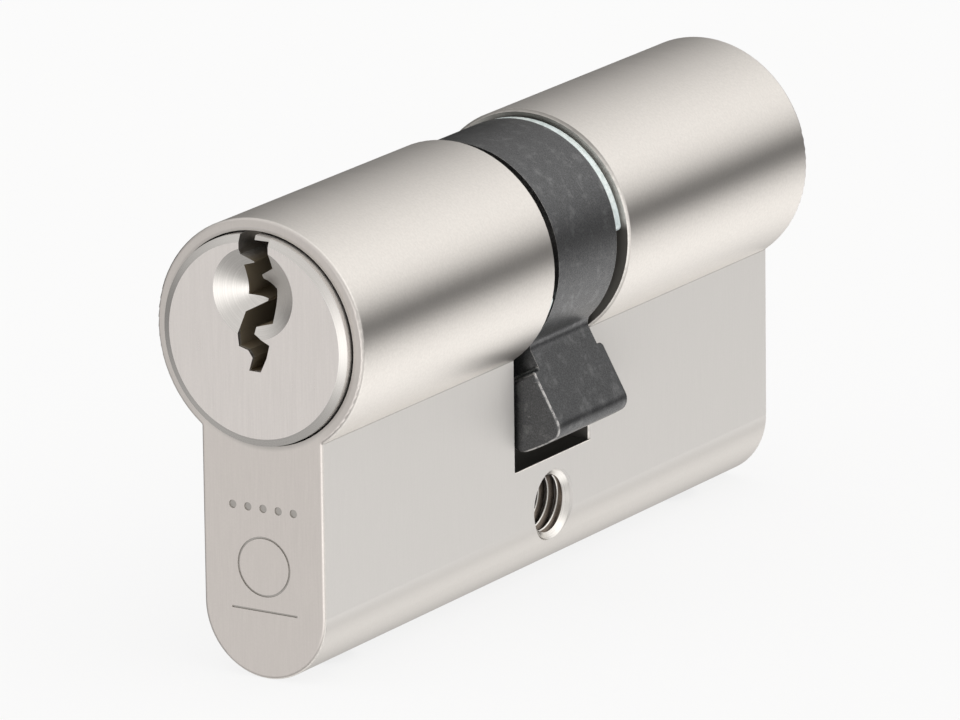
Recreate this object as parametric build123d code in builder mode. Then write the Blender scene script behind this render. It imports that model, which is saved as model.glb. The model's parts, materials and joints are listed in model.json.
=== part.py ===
from build123d import *
import os
from math import cos, radians, sin

os.makedirs("parts", exist_ok=True)

# Double euro-profile cylinder, mm.
# Origin: centre of the M5 fixing-screw hole. +Y runs to the rear end, +Z up, the web hangs down.

# Driving dimensions: outer profile
half_length = 30.0          # screw-hole centre to each end face
head_d = 17.0
web_w = 10.0
profile_h = 33.0
axis_z = 18.8               # plug axis above the screw hole
edge_break = 0.25           # rounding of the profile's end edges
junction_round = 0.1        # root where the web meets the head

# Cam slot and screw hole
slot_w = 10.0
slot_depth = 15.2           # plug axis down to the slot floor
slot_edge_break = 0.18      # on the head's edges only
screw_r = 2.5               # M5
screw_chamfer = 0.15

# Plug
bore_r = 6.5
body_r = 6.45
counterbore_r = 7.65
counterbore_depth = 2.2
flange_r = 7.52
flange_proud = 0.8          # plug face in front of the housing face
flange_bevel_axial = 0.25
flange_bevel_radial = 0.55
seat_gap = 0.05
tail_y = -1.3               # inner end of the front plug
clip_groove_r = 5.7
cone_r = 3.27               # key lead-in countersink
cone_depth = 1.85
cone_rise = 3.35            # countersink centre above the plug axis

# Keyway, seen from the front, heights above the plug axis
key_left, key_right = -1.1, 1.3
key_top = 8.2
key_lid, key_lid_left = 7.2, 0.17    # the right part of the keyway stops under the flange's rim
# each ward: tip x, wall height above, tip top, tip bottom, wall height below
left_wards = [(-0.25, 6.0, 5.5, 5.4, 5.15), (0.35, 2.95, 2.75, 2.6, 1.8)]
right_wards = [(0.0, 5.2, 4.45, 4.15, 3.65), (-0.05, 1.3, 0.9, 0.45, -0.15)]
key_foot = [(-1.3, 0.4), (-1.2, -0.5), (-0.45, -0.7), (-0.1, -1.2), (-0.4, -2.15),
            (0.55, -2.15), (1.05, -1.1)]

# Pin stacks: five chambers in each half
chamber_r = 1.5
chamber_first = 23.2
chamber_first_gap = 4.2     # the larger closer under the first chamber needs the room
chamber_pitch = 3.6
chamber_count = 5
chamber_top = 3.0           # end of the drilled chamber above the plug axis
pin_r = 1.45
key_pin_lengths = [5.3, 6.2, 5.6, 6.5, 5.9]
key_pin_foot = 6.42         # below the plug axis, inside the shear line
key_pin_tip_r = 0.5
key_pin_tip_h = 1.0
key_pin_dome = 0.25
driver_top = 6.52
driver_length = 5.0
driver_chamfer = 0.25
spring_seat = 21.2          # below the plug axis
spring_r = 1.1
spring_wire_r = 0.16
spring_turns = 9
spring_end_gap = 0.02
closer_r = 1.55             # press-fit closers under the chambers
guard_r = 2.45              # hardened closer under the first chamber
guard_foot = 23.0

# Retaining clips
clip_outer_r = 8.0
clip_inner = 4.05           # clip faces, from the middle of the slot
clip_outer = 4.7
clip_gap_starts = {"front_clip": 95.0, "rear_clip": 5.0}      # opening of each C, degrees above +X
clip_gap_span = 110.0
clip_end_round = 0.4
clip_mid_r = (clip_outer_r + clip_groove_r) / 2

# Cam
ring_r = 8.08
ring_half = 3.9
recess_r = 7.15
land = 1.05                 # half width of the slotted middle rib
recess_end = 3.25
ear_slot = 3.1
lug_angle = 27.5            # lug swung from straight down towards +X
lug_reach = 14.8
lug_half = 4.68
lug_root_half_w = 2.05
lug_tip_half_w = 2.28
lug_step_r = 9.7            # the lug widens beyond this radius to clear the clips
lug_overlap = 0.5           # neck and lug run into each other
lug_tip_round = 1.0
lug_edge_round = 0.22
lug_step_round = 0.35       # both corners of the step
lug_root_round = 0.7

# Clutch couplers
coupler_half_w = 1.5
coupler_r = 7.05
coupler_half_t = 1.0
tongue_half_w = 4.0
tongue_end = 3.2
coupler_shift = 2.1
slot_play = 0.05
coupler_slot_end = 3.35
tongue_slot_end = 5.45

# Plain engraved marks on the front of the web
mark_depth = 0.1
mark_line = 0.16
mark_ring_r = 2.1
mark_ring_z = -16.4
mark_dot_r = 0.3
mark_dot_pitch = 1.25
mark_dot_count = 5
mark_dot_z = -12.2
mark_bar_w = 5.4
mark_bar_z = -19.6

bottom_rel = head_d / 2 - profile_h
web_r = web_w / 2
plug_axis = Axis((0, 0, axis_z), (0, 1, 0))


def section(y):
    """Plane across the plug axis at y, seen from the front; its normal points to -Y."""
    return Plane(origin=(0, y, axis_z), x_dir=(1, 0, 0), z_dir=(0, -1, 0))


def level(rise):
    """Horizontal plane at a height above the plug axis."""
    return Plane.XY.offset(axis_z + rise)


def side_plane(rise=0.0):
    """Plane through the plug's centre plane: local x is Y, local y is Z above the axis."""
    return Plane(origin=(0, 0, axis_z + rise), x_dir=(0, 1, 0), z_dir=(1, 0, 0))


def save(shape, label):
    shape.label = label
    export_step(shape, f"parts/{label}.step")


chamber_second = chamber_first - chamber_first_gap
chamber_y = [-chamber_first] + [chamber_pitch * i - chamber_second for i in range(chamber_count - 1)]
both_halves = chamber_y + [-y for y in chamber_y]

# Outer profile of head and web, reused to trim the closers
with BuildSketch() as outline:
    Circle(head_d / 2)
    with Locations((0, (bottom_rel + web_r) / 2)):
        SlotCenterToCenter(-(bottom_rel + web_r), web_w, rotation=90)
    fillet(outline.vertices().filter_by(lambda v: v.Y < 0 and v.Y > -head_d / 2), junction_round)

# Bar of the profile with its end edges broken, drawn upright and then laid along Y
with BuildPart() as upright_bar:
    add(outline.sketch)
    extrude(amount=half_length, both=True)
    ends = upright_bar.faces().filter_by(Axis.Z).sort_by(Axis.Z)
    fillet(ends[0].edges() + ends[-1].edges(), edge_break)
with BuildPart() as bar:
    with Locations((0, 0, axis_z)):
        add(upright_bar.part, rotation=(90, 0, 0))

# Housing: the bar slotted for the cam and bored for plugs, pins and screw
with BuildPart() as housing:
    add(bar.part)
    with BuildSketch(level(-slot_depth)) as slot:
        Rectangle(2 * head_d, slot_w)
    extrude(amount=profile_h, mode=Mode.SUBTRACT)
    head_rims = housing.edges().filter_by(lambda e: e.geom_type == GeomType.CIRCLE
                                          and abs(abs(e.center().Y) - slot_w / 2) < 0.01
                                          and abs(e.radius - head_d / 2) < 0.01)
    chamfer(head_rims, slot_edge_break)
    with BuildSketch(section(-half_length)) as bore:
        Circle(bore_r)
    extrude(amount=-2 * half_length, mode=Mode.SUBTRACT)
    for y, reach in ((-half_length, -counterbore_depth), (half_length, counterbore_depth)):
        with BuildSketch(section(y)) as counterbore:
            Circle(counterbore_r)
        extrude(amount=reach, mode=Mode.SUBTRACT)
    with BuildSketch(level(bottom_rel)) as chambers:
        with Locations([(0, y) for y in both_halves]):
            Circle(chamber_r)
    extrude(amount=-bottom_rel, mode=Mode.SUBTRACT)
    with BuildSketch(level(bottom_rel)) as closer_seats:
        with Locations([(0, y) for y in both_halves]):
            Circle(closer_r)
        with Locations((0, -chamber_first), (0, chamber_first)):
            Circle(guard_r)
    extrude(amount=-spring_seat - bottom_rel, mode=Mode.SUBTRACT)
    with BuildSketch(Plane.YZ.offset(-web_w)) as screw_hole:
        Circle(screw_r)
    extrude(amount=2 * web_w, mode=Mode.SUBTRACT)
    mouths = housing.edges().filter_by(GeomType.CIRCLE).filter_by(lambda e: abs(e.radius - screw_r) < 0.01)
    chamfer(mouths, screw_chamfer)
    with BuildSketch(section(-half_length)) as marks:
        with Locations((0, mark_ring_z)):
            Circle(mark_ring_r + mark_line / 2)
            Circle(mark_ring_r - mark_line / 2, mode=Mode.SUBTRACT)
        with Locations((0, mark_dot_z)):
            with GridLocations(mark_dot_pitch, 0, mark_dot_count, 1):
                Circle(mark_dot_r)
        with Locations((0, mark_bar_z)):
            Rectangle(mark_bar_w, mark_line)
    extrude(amount=-mark_depth, mode=Mode.SUBTRACT)
save(housing.part, "housing")


def keyway_points():
    """Outline of the keyway: down the left wall, round the foot, up the right wall."""
    points = [(key_left, key_top)]
    for tip, above, tip_top, tip_foot, below in left_wards:
        points += [(key_left, above), (tip, tip_top), (tip, tip_foot), (key_left, below)]
    points += key_foot
    for tip, above, tip_top, tip_foot, below in reversed(right_wards):
        points += [(key_right, below), (tip, tip_foot), (tip, tip_top), (key_right, above)]
    return points + [(key_right, key_lid), (key_lid_left, key_lid), (key_lid_left, key_top)]


# Plug: turned flange and body, clip groove, countersink, keyway, chambers and clutch slot.
# It is drawn at the front; the rear one is the same piece turned half round about Z.
face_y = -half_length - flange_proud
flange_back = -half_length + counterbore_depth - seat_gap
with BuildPart() as front_plug:
    with BuildSketch(side_plane()) as turned:
        with BuildLine():
            Polyline(
                (face_y, 0), (face_y, flange_r - flange_bevel_radial),
                (face_y + flange_bevel_axial, flange_r), (flange_back, flange_r),
                (flange_back, body_r), (-clip_outer, body_r), (-clip_outer, clip_groove_r),
                (-clip_inner, clip_groove_r), (-clip_inner, body_r), (tail_y, body_r),
                (tail_y, 0), close=True,
            )
        make_face()
    revolve(axis=plug_axis)
    with BuildSketch(side_plane(cone_rise)) as countersink:
        with BuildLine():
            Polyline((face_y, 0), (face_y, cone_r), (face_y + cone_depth, 0), close=True)
        make_face()
    revolve(axis=Axis((0, 0, axis_z + cone_rise), (0, 1, 0)), mode=Mode.SUBTRACT)
    with BuildSketch(section(face_y)) as keyway:
        with BuildLine():
            Polyline(*keyway_points(), close=True)
        make_face()
    extrude(amount=-half_length, mode=Mode.SUBTRACT)
    with BuildSketch(level(-head_d / 2)) as plug_chambers:
        with Locations([(0, y) for y in chamber_y]):
            Circle(chamber_r)
    extrude(amount=head_d / 2 + chamber_top, mode=Mode.SUBTRACT)
    with BuildSketch(section(tail_y)) as clutch_slot:
        Rectangle(head_d, 2 * (coupler_half_w + slot_play))
    extrude(amount=coupler_slot_end + tail_y, mode=Mode.SUBTRACT)
    with BuildSketch(section(tail_y)) as tongue_slot:
        Rectangle(2 * (tongue_half_w + slot_play), 2 * (coupler_half_w + slot_play))
    extrude(amount=tongue_slot_end + tail_y, mode=Mode.SUBTRACT)
save(front_plug.part, "front_plug")

with BuildPart() as rear_plug:
    add(front_plug.part, rotation=(0, 0, 180))
save(rear_plug.part, "rear_plug")

# Retaining clips: flat C rings in the plug grooves
for label, y in (("front_clip", -clip_inner), ("rear_clip", clip_outer)):
    with BuildPart() as clip:
        with BuildSketch(section(y)) as c_ring:
            Circle(clip_outer_r)
            Circle(clip_groove_r, mode=Mode.SUBTRACT)
            with BuildLine():
                start, stop = radians(clip_gap_starts[label]), radians(clip_gap_starts[label] - clip_gap_span)
                middle = (start + stop) / 2
                far = 2 * head_d
                Polyline((0, 0), (far * cos(start), far * sin(start)), (far * cos(middle), far * sin(middle)),
                         (far * cos(stop), far * sin(stop)), close=True)
            make_face(mode=Mode.SUBTRACT)
            outer_ends = [v for v in c_ring.vertices() if Vector(v.X, v.Y).length > clip_mid_r]
            fillet(outer_ends, clip_end_round)
        extrude(amount=clip_outer - clip_inner)
    save(clip.part, label)


def lug_plane(y):
    """Section plane swung so that its local -y runs along the cam lug."""
    swing = radians(lug_angle)
    return Plane(origin=(0, y, axis_z), x_dir=(cos(swing), 0, sin(swing)), z_dir=(0, -1, 0))


def lug_half_width(r):
    """Half width of the slightly flared lug at a distance from the plug axis."""
    share = (r - ring_r) / (lug_reach - ring_r)
    return lug_root_half_w + share * (lug_tip_half_w - lug_root_half_w)


# Cam: ring on the plug tails with a slotted middle rib, and the lug that throws the bolt
with BuildPart() as cam:
    with BuildSketch(lug_plane(ring_half)) as ring_and_neck:
        Circle(ring_r)
        with BuildLine():
            neck_end = lug_step_r + lug_overlap
            root, step = lug_half_width(bore_r), lug_half_width(neck_end)
            Polyline((-root, -bore_r), (root, -bore_r), (step, -neck_end), (-step, -neck_end), close=True)
        make_face()
        fillet(ring_and_neck.vertices().filter_by(lambda v: -ring_r < v.Y < -bore_r), lug_root_round)
    extrude(amount=2 * ring_half)
with BuildPart() as lug:
    with BuildSketch(lug_plane(lug_half)) as lug_outline:
        lug_start, past_tip = lug_step_r - lug_overlap, lug_reach + lug_overlap
        with BuildLine():
            start, tip = lug_half_width(lug_start), lug_half_width(past_tip)
            Polyline((-start, -lug_start), (start, -lug_start), (tip, -past_tip),
                     (-tip, -past_tip), close=True)
        make_face()
        Circle(lug_reach, mode=Mode.INTERSECT)
        fillet(lug_outline.vertices().group_by(Axis.Y)[0], lug_tip_round)
    extrude(amount=2 * lug_half)
    across_lug = Plane(origin=(0, 0, axis_z), x_dir=(0, 1, 0), z_dir=lug_plane(0).x_dir)
    with BuildSketch(across_lug) as stepped_width:
        for half, begin in ((ring_half, lug_start), (lug_half, lug_step_r)):
            with Locations((0, -(begin + past_tip) / 2)):
                Rectangle(2 * half, past_tip - begin)
        step_corners = stepped_width.vertices().filter_by(lambda v: abs(v.Y + lug_step_r) < 0.01)
        fillet(step_corners, lug_step_round)
    extrude(amount=lug_reach, both=True, mode=Mode.INTERSECT)
    ends = lug.faces().filter_by(Axis.Y).group_by(Axis.Y)
    fillet((ends[0] + ends[-1]).edges(), lug_edge_round)
with BuildPart() as whole_cam:
    add(cam.part)
    add(lug.part)
    with BuildSketch(section(half_length)) as cam_bore:
        Circle(bore_r)
    extrude(amount=2 * half_length, mode=Mode.SUBTRACT)
    for y in (-land, recess_end):
        with BuildSketch(section(y)) as recess:
            Circle(recess_r)
        extrude(amount=recess_end - land, mode=Mode.SUBTRACT)
    with BuildSketch(section(recess_end)) as ear_slots:
        Rectangle(head_d, ear_slot)
        Circle(recess_r, mode=Mode.INTERSECT)
    extrude(amount=2 * recess_end, mode=Mode.SUBTRACT)
save(whole_cam.part, "cam")

# Clutch couplers: a cross bar whose ears drive the cam and a tongue that stays in the plug
with BuildPart() as front_coupler:
    with BuildSketch(section(coupler_half_t)) as cross_bar:
        Circle(coupler_r)
        Rectangle(head_d, 2 * coupler_half_w, mode=Mode.INTERSECT)
    extrude(amount=2 * coupler_half_t)
    with BuildSketch(section(-coupler_half_t)) as tongue:
        Rectangle(2 * tongue_half_w, 2 * coupler_half_w)
    extrude(amount=tongue_end - coupler_half_t)
save(front_coupler.part, "front_coupler")

with BuildPart() as rear_coupler:
    with Locations((0, coupler_shift, 0)):
        add(front_coupler.part, rotation=(0, 0, 180))
save(rear_coupler.part, "rear_coupler")


# Pin stacks: key pin, driver pin, spring and closer in every chamber
for side, sign in (("front", 1), ("rear", -1)):
    for number in range(1, chamber_count + 1):
        y = sign * chamber_y[number - 1]
        stack_axis = Axis((0, y, 0), (0, 0, 1))
        tip = key_pin_lengths[number - 1] - key_pin_foot

        with BuildPart() as key_pin:
            with BuildSketch(section(y)) as pin_half:
                with BuildLine():
                    Polyline((0, -key_pin_foot), (pin_r / 2, -key_pin_foot),
                             (pin_r, -key_pin_foot + key_pin_dome), (pin_r, tip - key_pin_tip_h),
                             (key_pin_tip_r, tip), (0, tip), close=True)
                make_face()
            revolve(axis=stack_axis)
        save(key_pin.part, f"{side}_key_pin_{number}")

        with BuildPart() as driver_pin:
            with BuildSketch(level(-driver_top - driver_length)) as driver_foot:
                with Locations((0, y)):
                    Circle(pin_r)
            extrude(amount=driver_length)
            chamfer(driver_pin.edges().filter_by(GeomType.CIRCLE), driver_chamfer)
        save(driver_pin.part, f"{side}_driver_pin_{number}")

        spring_foot = -spring_seat + spring_wire_r + spring_end_gap
        spring_top = -driver_top - driver_length - spring_wire_r - spring_end_gap
        with BuildPart() as spring:
            with BuildLine() as coil:
                Helix(pitch=(spring_top - spring_foot) / spring_turns, radius=spring_r,
                      height=spring_top - spring_foot, center=(0, y, axis_z + spring_foot))
            with BuildSketch(Plane(coil.line @ 0, z_dir=coil.line % 0)) as wire:
                Circle(spring_wire_r)
            sweep(path=coil.line, is_frenet=True)
        save(spring.part, f"{side}_spring_{number}")

        with BuildPart() as closer:
            if number == 1:
                with BuildSketch(level(-guard_foot)) as plug_round:
                    with Locations((0, y)):
                        Circle(guard_r)
                extrude(amount=guard_foot - spring_seat)
            else:
                add(bar.part)
                with BuildSketch(level(bottom_rel)) as plug_round:
                    with Locations((0, y)):
                        Circle(closer_r)
                extrude(amount=-spring_seat - bottom_rel, mode=Mode.INTERSECT)
        save(closer.part, f"{side}_closer_{number}")
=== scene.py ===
"""Studio scene for the euro cylinder: finishes of the CAD parts, screw thread, springs, light, floor, camera.

Lengths are in metres unless a name ends in _mm. Textures work in millimetres of the part's own frame.
"""
import json
import math

import bpy
from mathutils import Matrix, Vector

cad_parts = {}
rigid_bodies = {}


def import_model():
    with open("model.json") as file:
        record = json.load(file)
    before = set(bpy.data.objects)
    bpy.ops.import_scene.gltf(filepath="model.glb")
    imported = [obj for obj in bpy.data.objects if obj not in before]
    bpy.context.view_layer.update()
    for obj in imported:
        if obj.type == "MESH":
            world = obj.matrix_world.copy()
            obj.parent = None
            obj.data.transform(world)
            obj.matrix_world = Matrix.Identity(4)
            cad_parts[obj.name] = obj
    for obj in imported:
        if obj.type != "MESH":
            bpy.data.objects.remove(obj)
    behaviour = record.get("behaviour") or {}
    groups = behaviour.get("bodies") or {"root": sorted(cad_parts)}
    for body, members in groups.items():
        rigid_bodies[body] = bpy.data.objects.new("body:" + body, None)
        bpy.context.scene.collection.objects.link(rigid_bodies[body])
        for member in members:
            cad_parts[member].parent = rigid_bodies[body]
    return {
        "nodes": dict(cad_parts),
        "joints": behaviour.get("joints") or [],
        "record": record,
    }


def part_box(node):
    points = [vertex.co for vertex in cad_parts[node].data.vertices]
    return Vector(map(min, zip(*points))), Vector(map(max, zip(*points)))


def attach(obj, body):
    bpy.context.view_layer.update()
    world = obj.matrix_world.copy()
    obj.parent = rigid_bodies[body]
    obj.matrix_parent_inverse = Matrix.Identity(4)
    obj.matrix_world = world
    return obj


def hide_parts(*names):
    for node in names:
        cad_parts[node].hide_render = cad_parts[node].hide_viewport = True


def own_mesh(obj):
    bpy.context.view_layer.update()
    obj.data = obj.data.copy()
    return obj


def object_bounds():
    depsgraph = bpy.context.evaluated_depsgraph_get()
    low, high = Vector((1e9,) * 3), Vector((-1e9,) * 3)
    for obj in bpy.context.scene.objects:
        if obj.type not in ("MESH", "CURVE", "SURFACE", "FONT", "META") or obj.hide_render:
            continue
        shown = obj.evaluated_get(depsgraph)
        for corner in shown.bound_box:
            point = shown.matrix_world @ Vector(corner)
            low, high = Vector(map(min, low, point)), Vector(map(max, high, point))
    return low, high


MM = 0.001
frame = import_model()
nodes = frame["nodes"]
mounts = {m["name"]: m for m in frame["record"]["mounts"]}
low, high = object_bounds()

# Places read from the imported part
HEAD_TOP = high.z
AXIS_Z = HEAD_TOP - (high.x - low.x) / 2          # plug axis, one head radius under the top
AXIS_MM = AXIS_Z / MM
HEAD_R_MM = (high.x - low.x) / 2 / MM
FACE_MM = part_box("front_plug")[0].y / MM          # front plug face
END_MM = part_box("housing")[1].y / MM              # housing end faces, plus and minus
FLOOR_Z = low.z

# Places on the CAD parts that the finishes follow
CONE_RISE_MM, CONE_R_MM = 3.35, 3.27               # key countersink, above the plug axis
RING_R_MM = 8.08                                   # cam ring
KEYWAY_LID_MM = 0.75                               # x of the rim that is left over the keyway
SEAT_R_MM = 7.65                                   # counterbore that the plug's flange turns in
SLOT_HALF_MM = 5.0                                 # slot for the cam
SLOT_BREAK_MM = 0.18                               # broken edge round the head at the slot
WEB_HALF_MM = 5.0
SLOT_FLOOR_MM = AXIS_MM - 15.2
MARKS_Z_MM, MARKS_REACH_MM = 2.5, 5.8              # engraved marks, middle and half height
BORE_MARGIN_MM = 0.3                               # counts the wall of the bores as inside
ROUND_MM = FLOOR_Z / MM + WEB_HALF_MM              # where the web's foot starts to round
JUNCTION_MM = AXIS_MM - math.sqrt(HEAD_R_MM ** 2 - WEB_HALF_MM ** 2)       # where the web meets the head

# Screw thread
SCREW_R = mounts["fixing_screw_hole"]["dims"]["r_mm"] * MM
THREAD_PITCH = 0.8 * MM
THREAD_CREST_R = 2.1 * MM
THREAD_CREST_FLAT = 0.06 * MM
THREAD_BASE = 0.76 * MM
THREAD_SINK = 0.03 * MM                            # the ridge's foot lies this deep in the wall
COUNTERSINK_R = 2.66 * MM                          # 45 degree mouth, measured at the web's face
MOUTH_DEPTH = 0.56 * MM

# Camera: a long lens, as the photograph's near-parallel edges show
CAMERA_AZIMUTH, CAMERA_ELEVATION, CAMERA_ROLL = 32.25, 15.56, -0.70
CAMERA_DISTANCE = 0.7332
CAMERA_AIM = Vector((0.44, -2.38, 10.64)) * MM
CAMERA_LENS, CAMERA_SENSOR = 386.7, 36.0


# ---------------------------------------------------------------- node graphs

class Graph:
    """One material's node tree, with short calls for the nodes that the finishes share."""

    def __init__(self, name):
        self.material = bpy.data.materials.new(name)
        self.material.use_nodes = True
        self.tree = self.material.node_tree
        self.shader = self.tree.nodes["Principled BSDF"]
        self.texture = self.tree.nodes.new("ShaderNodeTexCoord")

    def put(self, socket, value):
        """Links a socket, or sets a plain number, vector or colour on it."""
        if isinstance(value, bpy.types.NodeSocket):
            self.tree.links.new(value, socket)
        elif hasattr(value, "__len__") and socket.type == "RGBA" and len(value) == 3:
            socket.default_value = (*value, 1.0)
        else:
            socket.default_value = value

    def math(self, operation, *values):
        node = self.tree.nodes.new("ShaderNodeMath")
        node.operation = operation
        for socket, value in zip(node.inputs, values):
            self.put(socket, value)
        return node.outputs[0]

    def vector(self, operation, *values):
        node = self.tree.nodes.new("ShaderNodeVectorMath")
        node.operation = operation
        for socket, value in zip(node.inputs, values):
            self.put(socket, value)
        return node.outputs["Value" if operation in ("LENGTH", "DOT_PRODUCT") else "Vector"]

    def split(self, vector):
        node = self.tree.nodes.new("ShaderNodeSeparateXYZ")
        self.put(node.inputs[0], vector)
        return node.outputs

    def join(self, x, y, z):
        node = self.tree.nodes.new("ShaderNodeCombineXYZ")
        for socket, value in zip(node.inputs, (x, y, z)):
            self.put(socket, value)
        return node.outputs[0]

    def place(self):
        """The point in millimetres of the part's frame. It stays with the part when the part moves."""
        return self.vector("MULTIPLY", self.texture.outputs["Object"], (1 / MM,) * 3)

    def normal(self):
        return self.texture.outputs["Normal"]

    def noise(self, vector, scale=1.0, detail=3.0, roughness=0.55):
        node = self.tree.nodes.new("ShaderNodeTexNoise")
        names = ("Vector", "Scale", "Detail", "Roughness")
        for name, value in zip(names, (vector, scale, detail, roughness)):
            self.put(node.inputs[name], value)
        return node.outputs["Fac"]

    def range(self, value, from_low, from_high, to_low=0.0, to_high=1.0):
        """A smooth step between two values, from to_low to to_high."""
        node = self.tree.nodes.new("ShaderNodeMapRange")
        node.interpolation_type = "SMOOTHSTEP"
        for socket, item in zip(node.inputs, (value, from_low, from_high, to_low, to_high)):
            self.put(socket, item)
        return node.outputs[0]

    def mix(self, factor, a, b, kind="RGBA"):
        node = self.tree.nodes.new("ShaderNodeMix")
        node.data_type = kind
        sockets = [s for s in node.inputs if s.enabled]
        for socket, value in zip(sockets, (factor, a, b)):
            self.put(socket, value)
        return [s for s in node.outputs if s.enabled][0]

    def bump(self, height, distance):
        node = self.tree.nodes.new("ShaderNodeBump")
        for name, value in (("Height", height), ("Distance", distance), ("Strength", 1.0)):
            self.put(node.inputs[name], value)
        return node.outputs[0]

    def turned_with_part(self, vector):
        """A direction in the part's frame, turned as the part turns."""
        node = self.tree.nodes.new("ShaderNodeVectorTransform")
        node.vector_type, node.convert_from, node.convert_to = "VECTOR", "OBJECT", "WORLD"
        self.put(node.inputs[0], vector)
        return node.outputs[0]

    def soft_edges(self, radius):
        """Shading normals rounded at sharp edges, as a real edge break is."""
        node = self.tree.nodes.new("ShaderNodeBevel")
        node.samples = 6
        self.put(node.inputs["Radius"], radius)
        return node.outputs[0]

    def edge_wear(self, radius, start, end):
        """1 near sharp edges and 0 on flats."""
        geometry = self.tree.nodes.new("ShaderNodeNewGeometry")
        bend = self.vector("DOT_PRODUCT", self.soft_edges(radius), geometry.outputs["Normal"])
        return self.range(bend, start, end, 1.0, 0.0)

    def finish(self, **sockets):
        """Sets the shader's sockets by name, with spaces written as underscores."""
        for name, value in sockets.items():
            self.put(self.shader.inputs[name.replace("_", " ").title().replace("Ior", "IOR")], value)
        return self.material


def streaks(graph, along, fine=9.0, long=0.25):
    """Brushing lines: noise drawn out along one axis of the part's frame, which along names."""
    scale = [fine, fine, fine]
    for axis in along:
        scale["xyz".index(axis)] = long
    stretched = graph.vector("MULTIPLY", graph.place(), tuple(scale))
    return graph.noise(stretched, detail=4.0, roughness=0.65)


def scaled(colour, factor):
    return tuple(factor * c for c in colour)


def nickel(name, tone, roughness, regions, dark_tone):
    """Satin nickel plate: end faces brushed upwards, the rest brushed along the bar.

    regions gives masks by name: inside paints shade into the bores, slot and hole, and into the keyway over
    its brass, shade the engraved marks and the darker rim and adds painted shade, bright a painted highlight
    on the slot's edges, matte the web, cone the turned cones, whose glints run along the direction radial.
    """
    g = Graph(name)
    facing = g.math("ABSOLUTE", g.split(g.normal())[1])
    on_end = g.range(facing, 0.6, 0.9)
    lines = g.mix(on_end, streaks(g, "xz", 7.0, 0.35), streaks(g, "z", 8.0, 0.3), "FLOAT")
    contrast = g.mix(on_end, 0.35, 1.0, "FLOAT")
    lines = g.math("ADD", 0.5, g.math("MULTIPLY", contrast, g.math("SUBTRACT", lines, 0.5)))
    cloud = g.noise(g.place(), 0.35, 2.0)
    grain = g.noise(g.place(), 5.0, 3.0, 0.7)
    r = regions(g)
    plated = g.mix(g.range(lines, 0.3, 0.7), scaled(tone, 0.94), tone)
    plated = g.mix(g.range(cloud, 0.35, 0.65, 0.0, 0.35), plated, scaled(tone, 0.97))
    speckle = g.mix(r["matte"], g.mix(on_end, 0.9, 0.3, "FLOAT"), 0.05, "FLOAT")
    specks = g.math("MULTIPLY", g.range(grain, 0.3, 0.7), speckle)
    plated = g.mix(specks, plated, scaled(tone, 0.89))
    plated = g.mix(on_end, plated, g.vector("MULTIPLY", plated, (0.98, 0.96, 0.965)))
    plated = g.mix(r["matte"], plated, g.vector("MULTIPLY", plated, (1.03, 1.05, 1.075)))
    turned = g.noise(g.join(g.math("MULTIPLY", r["from_centre"], 9.0), 0.0, 0.0), 1.0, 3.0)
    ringed = g.mix(g.range(turned, 0.3, 0.7), scaled(tone, 0.72), scaled(tone, 0.80))
    plated = g.mix(r["cone"], plated, ringed)
    # darker engraved marks and rim, and painted shade by the plug's gap, at the web's root and foot and over
    # the keyway
    plated = g.mix(r["shade"], plated, scaled(tone, 0.60))
    # painted highlight on the slot's edges
    plated = g.mix(r["bright"], plated, tuple(min(1.28 * c, 1.0) for c in tone))
    # painted shade: inside the bores, slot, screw hole and keyway the colour turns to the dark tone
    colour = g.mix(r["inside"], plated, dark_tone)
    rough = g.range(lines, 0.25, 0.75, roughness - 0.04, roughness + 0.05)
    rough = g.math("ADD", rough, g.range(grain, 0.3, 0.7, -0.02, 0.02))
    rough = g.mix(r["cone"], rough, roughness - 0.05, "FLOAT")
    rough = g.math("ADD", rough, g.math("MULTIPLY", r["matte"], 0.24))
    rough = g.mix(r["inside"], rough, 0.55, "FLOAT")
    across = g.mix(on_end, (0.0, 1.0, 0.0), (1.0, 0.0, 0.0), "VECTOR")
    across = g.mix(r["cone"], across, r["radial"], "VECTOR")
    height = g.math("ADD", g.math("MULTIPLY", lines, g.mix(r["matte"], 0.7, 0.2, "FLOAT")),
                    g.math("MULTIPLY", grain, g.math("MULTIPLY", speckle, 1.5)))
    height = g.mix(r["cone"], height, g.math("MULTIPLY", turned, 0.5), "FLOAT")
    bumped = g.bump(height, 0.004 * MM)
    return g.finish(base_color=colour, metallic=1.0, roughness=rough, normal=bumped, anisotropic=0.7,
                    tangent=g.turned_with_part(across))


def near(g, value, place, half_width, fade=0.04):
    """1 where a value lies within half_width of a place."""
    off = g.math("ABSOLUTE", g.math("SUBTRACT", value, place))
    return g.range(off, half_width - fade, half_width + fade, 1.0, 0.0)


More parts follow.
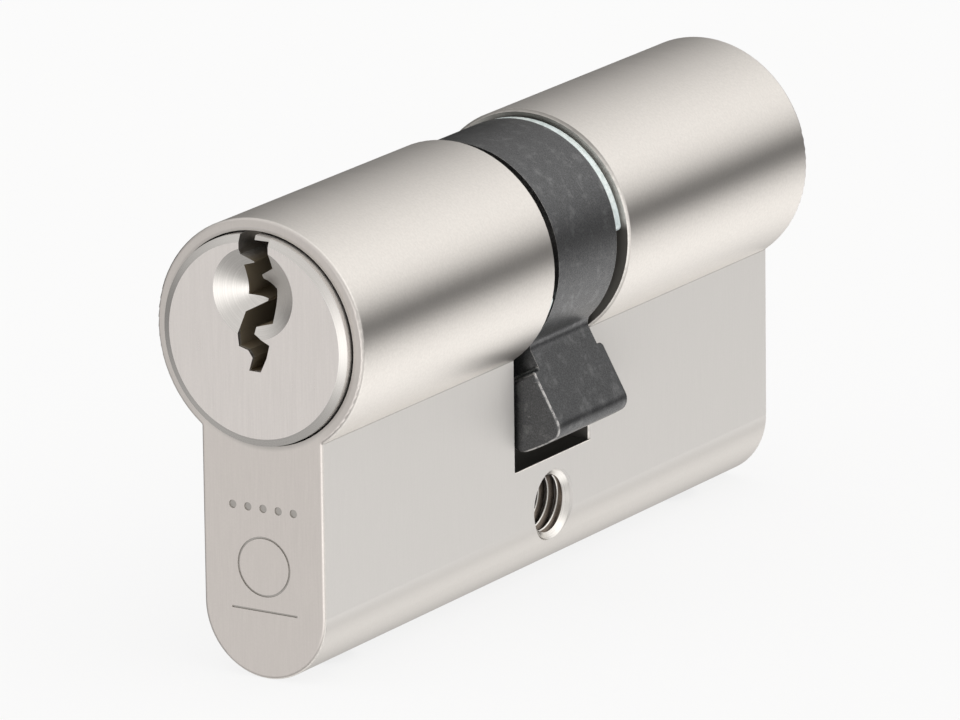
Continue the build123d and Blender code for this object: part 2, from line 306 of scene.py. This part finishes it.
def housing_regions(g):
    """Masks for the housing's bore, slot, screw hole, engraved marks, rim and web, and its painted shade,
    light and highlight.
    """
    x, y, z = g.split(g.place())
    wide, along = g.math("ABSOLUTE", x), g.math("ABSOLUTE", y)
    radial = g.vector("LENGTH", g.join(x, 0.0, g.math("SUBTRACT", z, AXIS_MM)))
    off_end = g.range(along, END_MM - 0.25, END_MM - 0.1, 1.0, 0.0)
    # painted shade on the bore's wall, the slot's walls and floor and the screw hole
    in_bore = g.math("MULTIPLY", off_end,
                     g.range(radial, HEAD_R_MM - BORE_MARGIN_MM - 0.2, HEAD_R_MM - BORE_MARGIN_MM, 1.0, 0.0))
    slot_wall = g.math("GREATER_THAN", z, SLOT_FLOOR_MM + 0.01)
    slot_floor = g.math("MULTIPLY", g.math("GREATER_THAN", z, SLOT_FLOOR_MM - 0.05),
                        g.math("LESS_THAN", wide, WEB_HALF_MM - 0.01))
    in_slot = g.math("MULTIPLY", g.math("LESS_THAN", along, SLOT_HALF_MM + 0.004),
                     g.math("MAXIMUM", slot_wall, slot_floor))
    from_screw = g.vector("LENGTH", g.join(0.0, y, z))
    screw_mm = SCREW_R / MM
    in_hole = g.math("MULTIPLY", g.range(from_screw, screw_mm + 0.02, screw_mm + 0.1, 0.75, 0.0),
                     g.range(wide, WEB_HALF_MM - 0.4, WEB_HALF_MM - 0.15, 1.0, 0.0))
    inside = g.math("MAXIMUM", g.math("MAXIMUM", in_bore, in_slot), in_hole)
    # painted light: above the axis the slot's walls lose part of their painted shade, more towards the sides
    on_wall = g.math("MULTIPLY", in_slot, g.range(z, AXIS_MM + 0.6, AXIS_MM + 1.6))
    plate = g.math("MULTIPLY", on_wall, g.range(wide, 0.5, 7.5, 0.08, 0.65))
    inside = g.math("SUBTRACT", inside, plate)
    # painted shade on the head's broken edge at the slot, darker higher up
    on_break = g.math("MULTIPLY", near(g, along, SLOT_HALF_MM + 0.1, 0.1),
                      g.range(radial, HEAD_R_MM - SLOT_BREAK_MM - 0.12, HEAD_R_MM - SLOT_BREAK_MM - 0.02))
    break_shade = g.range(z, AXIS_MM + 3.0, AXIS_MM + 7.5, 0.0, 0.7)
    inside = g.math("MAXIMUM", inside, g.math("MULTIPLY", on_break, break_shade))

    sunk = g.math("MULTIPLY", near(g, along, END_MM - 0.12, 0.08),
                  g.range(wide, WEB_HALF_MM - 1.2, WEB_HALF_MM - 0.8, 1.0, 0.0))
    marks = g.math("MULTIPLY", sunk, near(g, z, MARKS_Z_MM, MARKS_REACH_MM))
    rim = g.math("MULTIPLY", g.range(along, END_MM - 0.3, END_MM - 0.05, 0.0, 0.32),
                 g.range(z, JUNCTION_MM - 0.5, JUNCTION_MM + 1.5))
    # painted shade on the end faces beside the plug's gap, fading outwards
    gap_shade = g.math("MULTIPLY", g.range(radial, SEAT_R_MM, SEAT_R_MM + 0.45, 0.75, 0.0),
                   g.range(along, END_MM - 0.3, END_MM - 0.05))
    # painted shade: a thin dark line in the crease where the web meets the head
    root = g.math("MULTIPLY", near(g, z, JUNCTION_MM, 0.06, 0.05), near(g, wide, WEB_HALF_MM, 0.12))
    web = g.math("MULTIPLY", g.range(z, JUNCTION_MM - 0.05, JUNCTION_MM + 0.05, 1.0, 0.0),
                 g.range(along, END_MM - 0.2, END_MM - 0.1, 1.0, 0.0))
    # painted shade: the web's rounded foot made darker towards the bottom
    foot = g.math("MULTIPLY", web, g.range(z, ROUND_MM - 0.9, ROUND_MM + 0.2, 0.52, 0.0))
    # the engraved marks and the darker rim, with the painted shade below
    marks_and_shade = marks
    for mask in (rim, gap_shade, root, foot):
        marks_and_shade = g.math("MAXIMUM", marks_and_shade, mask)
    # painted highlight: thin light lines along the slot's edges on the web
    at_side = g.math("MULTIPLY", near(g, along, SLOT_HALF_MM, 0.10),
                     g.range(z, SLOT_FLOOR_MM - 0.1, SLOT_FLOOR_MM))
    at_floor = g.math("MULTIPLY", near(g, z, SLOT_FLOOR_MM, 0.10),
                      g.range(along, SLOT_HALF_MM, SLOT_HALF_MM + 0.1, 1.0, 0.0))
    patchy = g.range(g.noise(g.place(), 1.5, 3.0, 0.7), 0.35, 0.55, 0.3, 1.0)
    edge_highlight = g.math("MULTIPLY", g.math("MAXIMUM", at_side, at_floor), patchy)
    return {"inside": inside, "shade": marks_and_shade, "bright": edge_highlight,
            "matte": g.math("MULTIPLY", web, g.range(z, ROUND_MM - 2.8, ROUND_MM, 0.3, 1.0)),
            "cone": 0.0, "radial": (1.0, 0.0, 0.0), "from_centre": radial}


def plug_regions(g):
    """Masks for the plug's keyway and chambers, and for the turned countersink and flange bevel."""
    x, y, z = g.split(g.place())
    rise = g.math("SUBTRACT", z, AXIS_MM)
    outward = g.join(x, 0.0, g.math("SUBTRACT", rise, CONE_RISE_MM))
    from_cone = g.vector("LENGTH", outward)
    from_axis = g.vector("LENGTH", g.join(x, 0.0, rise))
    depth = g.math("SUBTRACT", -FACE_MM, g.math("ABSOLUTE", y))
    facing = g.math("ABSOLUTE", g.split(g.normal())[1])
    not_cone = g.range(facing, 0.15, 0.4, 1.0, 0.0)
    near_axis = g.range(from_axis, 5.5, 6.3, 1.0, 0.0)
    # painted shade in the keyway, deeper than the face, over the brass of its walls
    inside = g.math("MULTIPLY", g.math("MULTIPLY", g.range(depth, 0.1, 0.4), not_cone), near_axis)
    cone = g.math("MULTIPLY", g.range(facing, 0.2, 0.4), g.range(facing, 0.93, 0.97, 1.0, 0.0))
    in_cone = g.math("LESS_THAN", from_cone, CONE_R_MM + 0.02)
    radial = g.mix(in_cone, g.join(x, 0.0, rise), outward, "VECTOR")
    # painted shade on the flange bevel over the keyway
    over_keyway = g.math("MULTIPLY", near(g, x, KEYWAY_LID_MM, 0.6), g.range(rise, 7.0, 7.25, 0.0, 0.6))
    on_front = g.math("LESS_THAN", depth, 0.6)
    return {"inside": inside, "shade": g.math("MULTIPLY", over_keyway, on_front), "bright": 0.0, "matte": 0.0,
            "cone": cone, "radial": g.vector("NORMALIZE", radial), "from_centre": g.vector("LENGTH", radial)}


def turned_steel(name, tone, roughness, axis="z"):
    """Small turned parts: rings of tool marks across the turning axis, and a slight tint."""
    g = Graph(name)
    rings = streaks(g, [a for a in "xyz" if a != axis], fine=7.0, long=0.3)
    cloud = g.noise(g.place(), 1.2, 3.0)
    colour = g.mix(g.range(rings, 0.3, 0.7), scaled(tone, 0.85), tone)
    colour = g.mix(g.range(cloud, 0.4, 0.7, 0.0, 0.4), colour, scaled(tone, 0.8))
    rough = g.range(rings, 0.25, 0.75, roughness - 0.06, roughness + 0.08)
    bumped = g.bump(rings, 0.01 * MM)
    return g.finish(base_color=colour, metallic=1.0, roughness=rough, normal=bumped)


def zinc_clip(name):
    """Blue-passivated zinc: a cold green-white film with faint spangle, milky rather than mirror-like."""
    g = Graph(name)
    spangle = g.noise(g.place(), 2.6, 4.0, 0.6)
    film = g.noise(g.place(), 0.5, 2.0)
    colour = g.mix(g.range(spangle, 0.35, 0.65), (0.70, 0.79, 0.78), (0.88, 0.95, 0.94))
    colour = g.mix(g.range(film, 0.45, 0.65, 0.0, 0.5), colour, (0.80, 0.92, 0.95))
    rough = g.range(spangle, 0.3, 0.7, 0.28, 0.38)
    bumped = g.bump(spangle, 0.002 * MM)
    return g.finish(base_color=colour, metallic=0.35, roughness=rough, normal=bumped)


def sintered_cam(name):
    """Dark oiled sintered steel: fine pores, rubbed patches, a few scratches, and light rounds and edges,
    worn and with a painted highlight.
    """
    g = Graph(name)
    pores = g.noise(g.place(), 9.0, 4.0, 0.75)
    rubbed = g.noise(g.place(), 0.9, 6.0, 0.72)
    scratches = g.noise(g.vector("MULTIPLY", g.place(), (1.1, 8.0, 2.6)), 1.0, 5.0, 0.7)
    body = g.mix(g.range(pores, 0.35, 0.7), (0.078, 0.079, 0.082), (0.138, 0.141, 0.145))
    body = g.mix(g.range(rubbed, 0.5, 0.72, 0.0, 0.6), body, (0.235, 0.238, 0.242))
    body = g.mix(g.range(scratches, 0.64, 0.72, 0.0, 0.45), body, (0.40, 0.40, 0.41))
    facing = g.math("ABSOLUTE", g.split(g.normal())[1])
    x, _, z = g.split(g.place())
    radial = g.vector("LENGTH", g.join(x, 0.0, g.math("SUBTRACT", z, AXIS_MM)))
    # painted shade: the lug's flanks darker
    flank = g.math("MULTIPLY", g.range(radial, RING_R_MM + 0.3, RING_R_MM + 1.1),
                   g.range(facing, 0.3, 0.6, 1.0, 0.0))
    body = g.mix(flank, body, g.vector("MULTIPLY", body, (0.8, 0.8, 0.8)))
    # light rounds and corners: worn metal and a painted highlight
    rounded = g.math("MULTIPLY", g.range(facing, 0.25, 0.5), g.range(facing, 0.80, 0.94, 1.0, 0.0))
    corner = g.edge_wear(0.06 * MM, 0.93, 0.99)
    patchy = g.range(g.noise(g.place(), 2.2, 4.0, 0.75), 0.38, 0.58, 0.15, 1.0)
    wear_and_highlight = g.math("MULTIPLY", g.math("MAXIMUM", rounded, corner), patchy)
    colour = g.mix(wear_and_highlight, body, (0.52, 0.51, 0.50))
    rough = g.math("ADD", g.range(pores, 0.3, 0.7, 0.38, 0.29), g.math("MULTIPLY", wear_and_highlight, -0.05))
    bumped = g.bump(g.math("ADD", pores, g.math("MULTIPLY", rubbed, 0.6)), 0.014 * MM)
    return g.finish(base_color=colour, metallic=0.9, roughness=rough, normal=bumped)


FINISHES = {
    # Each nickel's last colour is the painted shade inside: near black for the housing, dark brass with shade
    # for the plug.
    "housing_nickel": lambda: nickel("Satin nickel housing", (0.784, 0.753, 0.718), 0.34, housing_regions,
                                     (0.150, 0.144, 0.132)),
    "plug_nickel": lambda: nickel("Satin nickel plug", (0.875, 0.850, 0.822), 0.32, plug_regions,
                                  (0.30, 0.25, 0.18)),
    "zinc_clip": lambda: zinc_clip("Passivated zinc clip"),
    "sintered_cam": lambda: sintered_cam("Sintered steel cam"),
    "coupler_steel": lambda: turned_steel("Hardened coupler", (0.42, 0.42, 0.43), 0.32, "y"),
    "pin_brass": lambda: turned_steel("Brass key pin", (0.62, 0.45, 0.22), 0.30),
    "driver_steel": lambda: turned_steel("Steel driver pin", (0.50, 0.50, 0.51), 0.28),
    "spring_steel": lambda: turned_steel("Spring wire", (0.58, 0.56, 0.52), 0.30),
    "closer_steel": lambda: turned_steel("Hardened closer", (0.20, 0.20, 0.21), 0.36),
    "closer_brass": lambda: turned_steel("Plated closer", (0.66, 0.63, 0.58), 0.32),
}


def dress_cad():
    """Gives each CAD node the finish of its material slot."""
    made = {slot: make() for slot, make in FINISHES.items()}
    for part in frame["record"]["subparts"]:
        mesh = nodes[part["node"]].data
        mesh.materials.clear()
        mesh.materials.append(made[part["material_slot"]])


# ---------------------------------------------------------------- added pieces

def add_piece(name, vertices, faces, finish, body):
    mesh = bpy.data.meshes.new(name)
    mesh.from_pydata(vertices, [], faces)
    mesh.materials.append(finish)
    piece = bpy.data.objects.new(name, mesh)
    bpy.context.scene.collection.objects.link(piece)
    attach(piece, body)
    return piece


def swept_band(rings):
    """Faces of a closed band through rings of equal size, each a closed loop of vertices."""
    vertices = [v for ring in rings for v in ring]
    size, faces = len(rings[0]), []
    for i in range(len(rings) - 1):
        for k in range(size):
            a, b = size * i + k, size * i + (k + 1) % size
            faces.append((a, b, b + size, a + size))
    return vertices, faces


def thread(finish, steps_per_turn=72):
    """The screw thread as a helical ridge on the hole's wall, between the countersinks."""
    half = WEB_HALF_MM * MM - MOUTH_DEPTH - THREAD_BASE / 2
    steps = int(2 * half / THREAD_PITCH * steps_per_turn)
    profile = ((-THREAD_BASE / 2, SCREW_R + THREAD_SINK), (-THREAD_CREST_FLAT / 2, THREAD_CREST_R),
               (THREAD_CREST_FLAT / 2, THREAD_CREST_R), (THREAD_BASE / 2, SCREW_R + THREAD_SINK))
    rings = []
    for i in range(steps + 1):
        x = half * (2 * i / steps - 1)
        angle = 2 * math.pi * (x + half) / THREAD_PITCH
        rings.append([(x + along, r * math.cos(angle), r * math.sin(angle)) for along, r in profile])
    vertices, faces = swept_band(rings)
    last = len(vertices) - 1
    faces += [(3, 2, 1, 0), (last - 3, last - 2, last - 1, last)]
    return add_piece("screw_thread", vertices, faces, finish, "housing")


def thread_mouth(side, finish, sides=96):
    """The countersink that leads into the thread: a turned ring with a 45 degree face, on side +1 or -1."""
    face = WEB_HALF_MM * MM
    start = COUNTERSINK_R - SCREW_R
    profile = ((start, SCREW_R + THREAD_SINK), (start, SCREW_R), (MOUTH_DEPTH, COUNTERSINK_R - MOUTH_DEPTH),
               (MOUTH_DEPTH + THREAD_BASE / 2, SCREW_R + THREAD_SINK))
    rings = []
    for i in range(sides + 1):
        angle = side * 2 * math.pi * i / sides
        rings.append([(side * (face - depth), r * math.cos(angle), r * math.sin(angle))
                      for depth, r in profile])
    vertices, faces = swept_band(rings)
    name = "screw_mouth_right" if side > 0 else "screw_mouth_left"
    return add_piece(name, vertices, faces, finish, "housing")


def springs():
    """Each pin spring again, as a copy of its mesh on the joint's parent, in place of the hidden CAD spring.
    """
    for joint in frame["joints"]:
        for deforming in joint.get("deforming_nodes", []):
            name, foot = deforming["node"], deforming["fixed_end_z_m"]
            coil = bpy.data.objects.new(f"{name}_coil", nodes[name].data.copy())
            bpy.context.scene.collection.objects.link(coil)
            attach(coil, joint["parent"])
            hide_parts(name)
            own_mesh(coil)


def cut_thread_finish():
    """Thread in the hole: a painted highlight on the crests and painted shade down the flanks."""
    g = Graph("Cut thread")
    _, y, z = g.split(g.place())
    radial = g.vector("LENGTH", g.join(0.0, y, z))
    marks = g.noise(g.vector("MULTIPLY", g.place(), (9.0, 1.0, 1.0)), 1.0, 3.0)
    crest = g.range(radial, THREAD_CREST_R / MM + 0.02, THREAD_CREST_R / MM + 0.09, 1.0, 0.0)
    # painted highlight on the crests, painted shade on the flanks
    colour = g.mix(crest, (0.15, 0.125, 0.105), (0.80, 0.78, 0.75))
    rough = g.range(marks, 0.3, 0.7, 0.24, 0.38)
    return g.finish(base_color=colour, metallic=1.0, roughness=rough, normal=g.bump(marks, 0.004 * MM))


def turned_mouth_finish():
    """Bright turned countersink with fine rings."""
    g = Graph("Turned countersink")
    rings = g.noise(g.vector("MULTIPLY", g.place(), (14.0, 0.4, 0.4)), 1.0, 3.0)
    colour = g.mix(g.range(rings, 0.3, 0.7), (0.70, 0.68, 0.65), (0.83, 0.81, 0.78))
    rough = g.range(rings, 0.3, 0.7, 0.26, 0.36)
    return g.finish(base_color=colour, metallic=1.0, roughness=rough, normal=g.bump(rings, 0.006 * MM))


# ---------------------------------------------------------------- studio

# Level of the studio's light by height above or below the horizon, as sine of the angle, behind the part
SKY_BAND = [(0.0, 0.05), (0.10, 0.20), (0.23, 0.85), (0.40, 1.20), (0.62, 1.38), (1.0, 1.25)]
SKY_BAND_DROP = 0.03
SKY_BAND_SCALE = 2.0                               # levels are divided by this in the ramp, which stops at 1
SKY_FRONT, SKY_BELOW = 0.80, 0.50                  # even light in front of the part, less from below
SKY_KEY_AZIMUTH, SKY_KEY_SHARE = 60.0, 0.5
# Soft cards: azimuth, elevation, level, tightness
SKY_CARDS = [(22.0, -11.0, 1.2, 16.0), (-152.0, 16.0, -0.35, 9.0), (-92.0, -14.0, -0.34, 5.0),
             (-160.0, -30.0, -0.40, 14.0), (166.0, -34.0, 0.22, 20.0)]


class SkyGraph(Graph):
    """The same short calls for the world's node tree."""

    def __init__(self, world):
        world.use_nodes = True
        self.tree = world.node_tree
        self.texture = self.tree.nodes.new("ShaderNodeTexCoord")
        self.background = self.tree.nodes["Background"]


def direction(azimuth, elevation):
    a, e = math.radians(azimuth), math.radians(elevation)
    return Vector((math.sin(a) * math.cos(e), -math.cos(a) * math.cos(e), math.sin(e)))


def studio_sky():
    """Soft white studio: behind the part a dark band at the horizon, in front an even light, and cards."""
    world = bpy.data.worlds.new("Studio")
    bpy.context.scene.world = world
    g = SkyGraph(world)
    toward = g.texture.outputs["Generated"]
    _, y, z = g.split(toward)
    ramp = g.tree.nodes.new("ShaderNodeValToRGB")
    ramp.color_ramp.interpolation = "B_SPLINE"
    stops = ramp.color_ramp.elements
    for index, (place, level) in enumerate(SKY_BAND):
        stop = stops[index] if index < 2 else stops.new(place)
        stop.position = place
        stop.color = (*(level / SKY_BAND_SCALE,) * 3, 1.0)
    g.put(ramp.inputs[0], g.math("ABSOLUTE", g.math("ADD", z, SKY_BAND_DROP)))
    behind = g.math("MULTIPLY", ramp.outputs[0], SKY_BAND_SCALE)
    key = g.vector("DOT_PRODUCT", toward, direction(SKY_KEY_AZIMUTH, 0.0))
    behind = g.math("MULTIPLY", behind, g.math("ADD", 1.0, g.math("MULTIPLY", key, SKY_KEY_SHARE)))
    front = g.range(z, -0.85, -0.3, SKY_BELOW, SKY_FRONT)
    front = g.mix(g.range(z, 0.2, 0.6), front, 0.95, "FLOAT")
    level = g.mix(g.range(y, -0.35, 0.15), front, behind, "FLOAT")
    for azimuth, elevation, strength, tightness in SKY_CARDS:
        closeness = g.vector("DOT_PRODUCT", toward, direction(azimuth, elevation))
        lobe = g.math("EXPONENT", g.math("MULTIPLY", tightness, g.math("SUBTRACT", closeness, 1.0)))
        level = g.math("ADD", level, g.math("MULTIPLY", lobe, strength))
    g.put(g.background.inputs["Color"], (1.0, 0.985, 0.965))
    g.put(g.background.inputs["Strength"], g.math("MAXIMUM", level, 0.03))


def floor():
    """A pale floor that curves up into a wall far behind, out of the metal's reflections."""
    reach, cove, rise, sides, bends = 1.6, 0.35, 1.1, 96, 10
    profile = [(0.0, 0.0), (reach - cove, 0.0)]
    profile += [(reach - cove + cove * math.sin(a), cove - cove * math.cos(a))
                for a in (math.pi / 2 * (i + 1) / bends for i in range(bends))]
    profile.append((reach, rise))
    vertices = [(0.0, 0.0, FLOOR_Z)]
    faces = []
    for radius, lift in profile[1:]:
        for s in range(sides):
            turn = 2 * math.pi * s / sides
            vertices.append((radius * math.cos(turn), radius * math.sin(turn), FLOOR_Z + lift))
    for s in range(sides):
        after = (s + 1) % sides
        faces.append((0, 1 + s, 1 + after))
        for ring in range(len(profile) - 2):
            a, b = 1 + ring * sides, 1 + (ring + 1) * sides
            faces.append((a + s, b + s, b + after, a + after))
    mesh = bpy.data.meshes.new("floor")
    mesh.from_pydata(vertices, [], faces)
    mesh.shade_smooth()
    g = Graph("Pale floor")
    mesh.materials.append(g.finish(base_color=(0.14, 0.14, 0.14), roughness=0.9, specular_ior_level=0.0,
                                    emission_color=(1.0, 1.0, 1.0), emission_strength=0.82))
    plate = bpy.data.objects.new("floor", mesh)
    bpy.context.scene.collection.objects.link(plate)
    plate.visible_glossy = False


def camera():
    data = bpy.data.cameras.new("Camera")
    data.lens, data.sensor_width = CAMERA_LENS, CAMERA_SENSOR
    data.clip_start, data.clip_end = 0.01, 20.0
    data.dof.use_dof = False
    back = direction(CAMERA_AZIMUTH, CAMERA_ELEVATION)
    right = direction(CAMERA_AZIMUTH + 90, 0.0)
    axes = Matrix((right, back.cross(right), back)).transposed()
    turned = axes @ Matrix.Rotation(math.radians(CAMERA_ROLL), 3, "Z")
    eye = bpy.data.objects.new("Camera", data)
    eye.matrix_world = Matrix.Translation(CAMERA_AIM + back * CAMERA_DISTANCE) @ turned.to_4x4()
    bpy.context.scene.collection.objects.link(eye)
    bpy.context.scene.camera = eye


dress_cad()
thread(cut_thread_finish())
mouth_finish = turned_mouth_finish()
for side in (1, -1):
    thread_mouth(side, mouth_finish)
springs()
studio_sky()
floor()
camera()
bpy.context.scene.view_settings.view_transform = "Standard"
